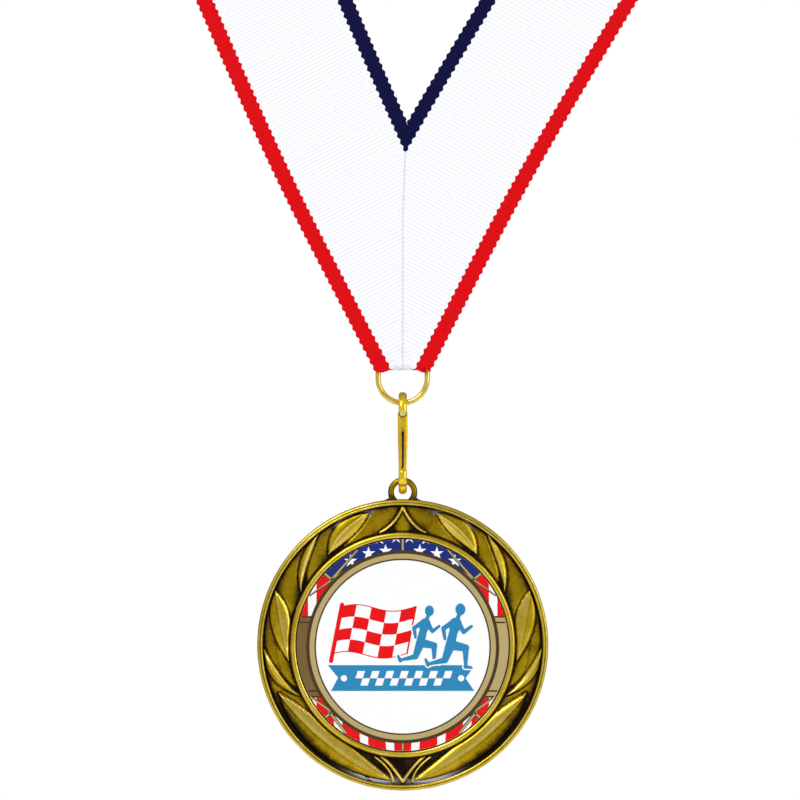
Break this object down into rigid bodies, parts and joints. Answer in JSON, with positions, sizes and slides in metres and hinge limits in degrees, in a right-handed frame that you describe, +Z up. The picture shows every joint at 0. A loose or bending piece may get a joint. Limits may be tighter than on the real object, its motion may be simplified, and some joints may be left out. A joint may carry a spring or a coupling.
{
  "type": "sports finisher medal",
  "caption": "Round cast medal with a printed insert, leaf relief and an eye, on a snap hook and D-ring under a striped V-neck ribbon.",
  "frame": {"origin": "middle of the ribbon where it lies on the nape; the medal hangs below and in front", "axes": "+Z up, +X to the wearer's left, +Y towards the wearer; the medal's printed face looks to -Y"},
  "size_m": [0.2234, 0.1013, 0.4026],
  "materials": {
    "ribbon_cloth": "ribbed woven ribbon, red, white and navy stripes",
    "sewing_thread": "spun polyester thread",
    "ring_plating": "pale gold plated wire",
    "clip_plating": "bright gold plated",
    "antique_gold": "die cast, antique gold with dark patina in the recesses",
    "adhesive": "dried glue film",
    "insert_print": "printed disc, satin"
  },
  "bodies": {
    "ribbon": {"neck_ribbon": "ribbon_cloth", "seam_thread": "sewing_thread", "tab_thread": "sewing_thread"},
    "ring": {"d_ring": "ring_plating"},
    "clip": {"clip_hook": "clip_plating", "gate_rivet": "clip_plating"},
    "gate": {"clip_gate": "clip_plating"},
    "medal": {"medal_casting": "antique_gold", "insert_adhesive": "adhesive", "printed_insert": "insert_print"}
  },
  "joints": [
    {"name": "ring_swing", "type": "hinge", "parent": "ribbon", "child": "ring", "pos_m": [0, -0.0891, -0.28522], "axis": [1, 0, 0], "range_deg": [-90, 90]},
    {"name": "clip_swing", "type": "hinge", "parent": "ring", "child": "clip", "pos_m": [0, -0.0891, -0.29432], "axis": [1, 0, 0], "range_deg": [-90, 90]},
    {"name": "gate_open", "type": "hinge", "parent": "clip", "child": "gate", "pos_m": [0, -0.09117, -0.29677], "axis": [1, 0, 0], "range_deg": [0, 12], "stiffness_Nm_per_rad": 0.02},
    {"name": "medal_swing", "type": "hinge", "parent": "clip", "child": "medal", "pos_m": [0, -0.0891, -0.31512], "axis": [0, 1, 0], "range_deg": [-90, 90]}
  ]
}
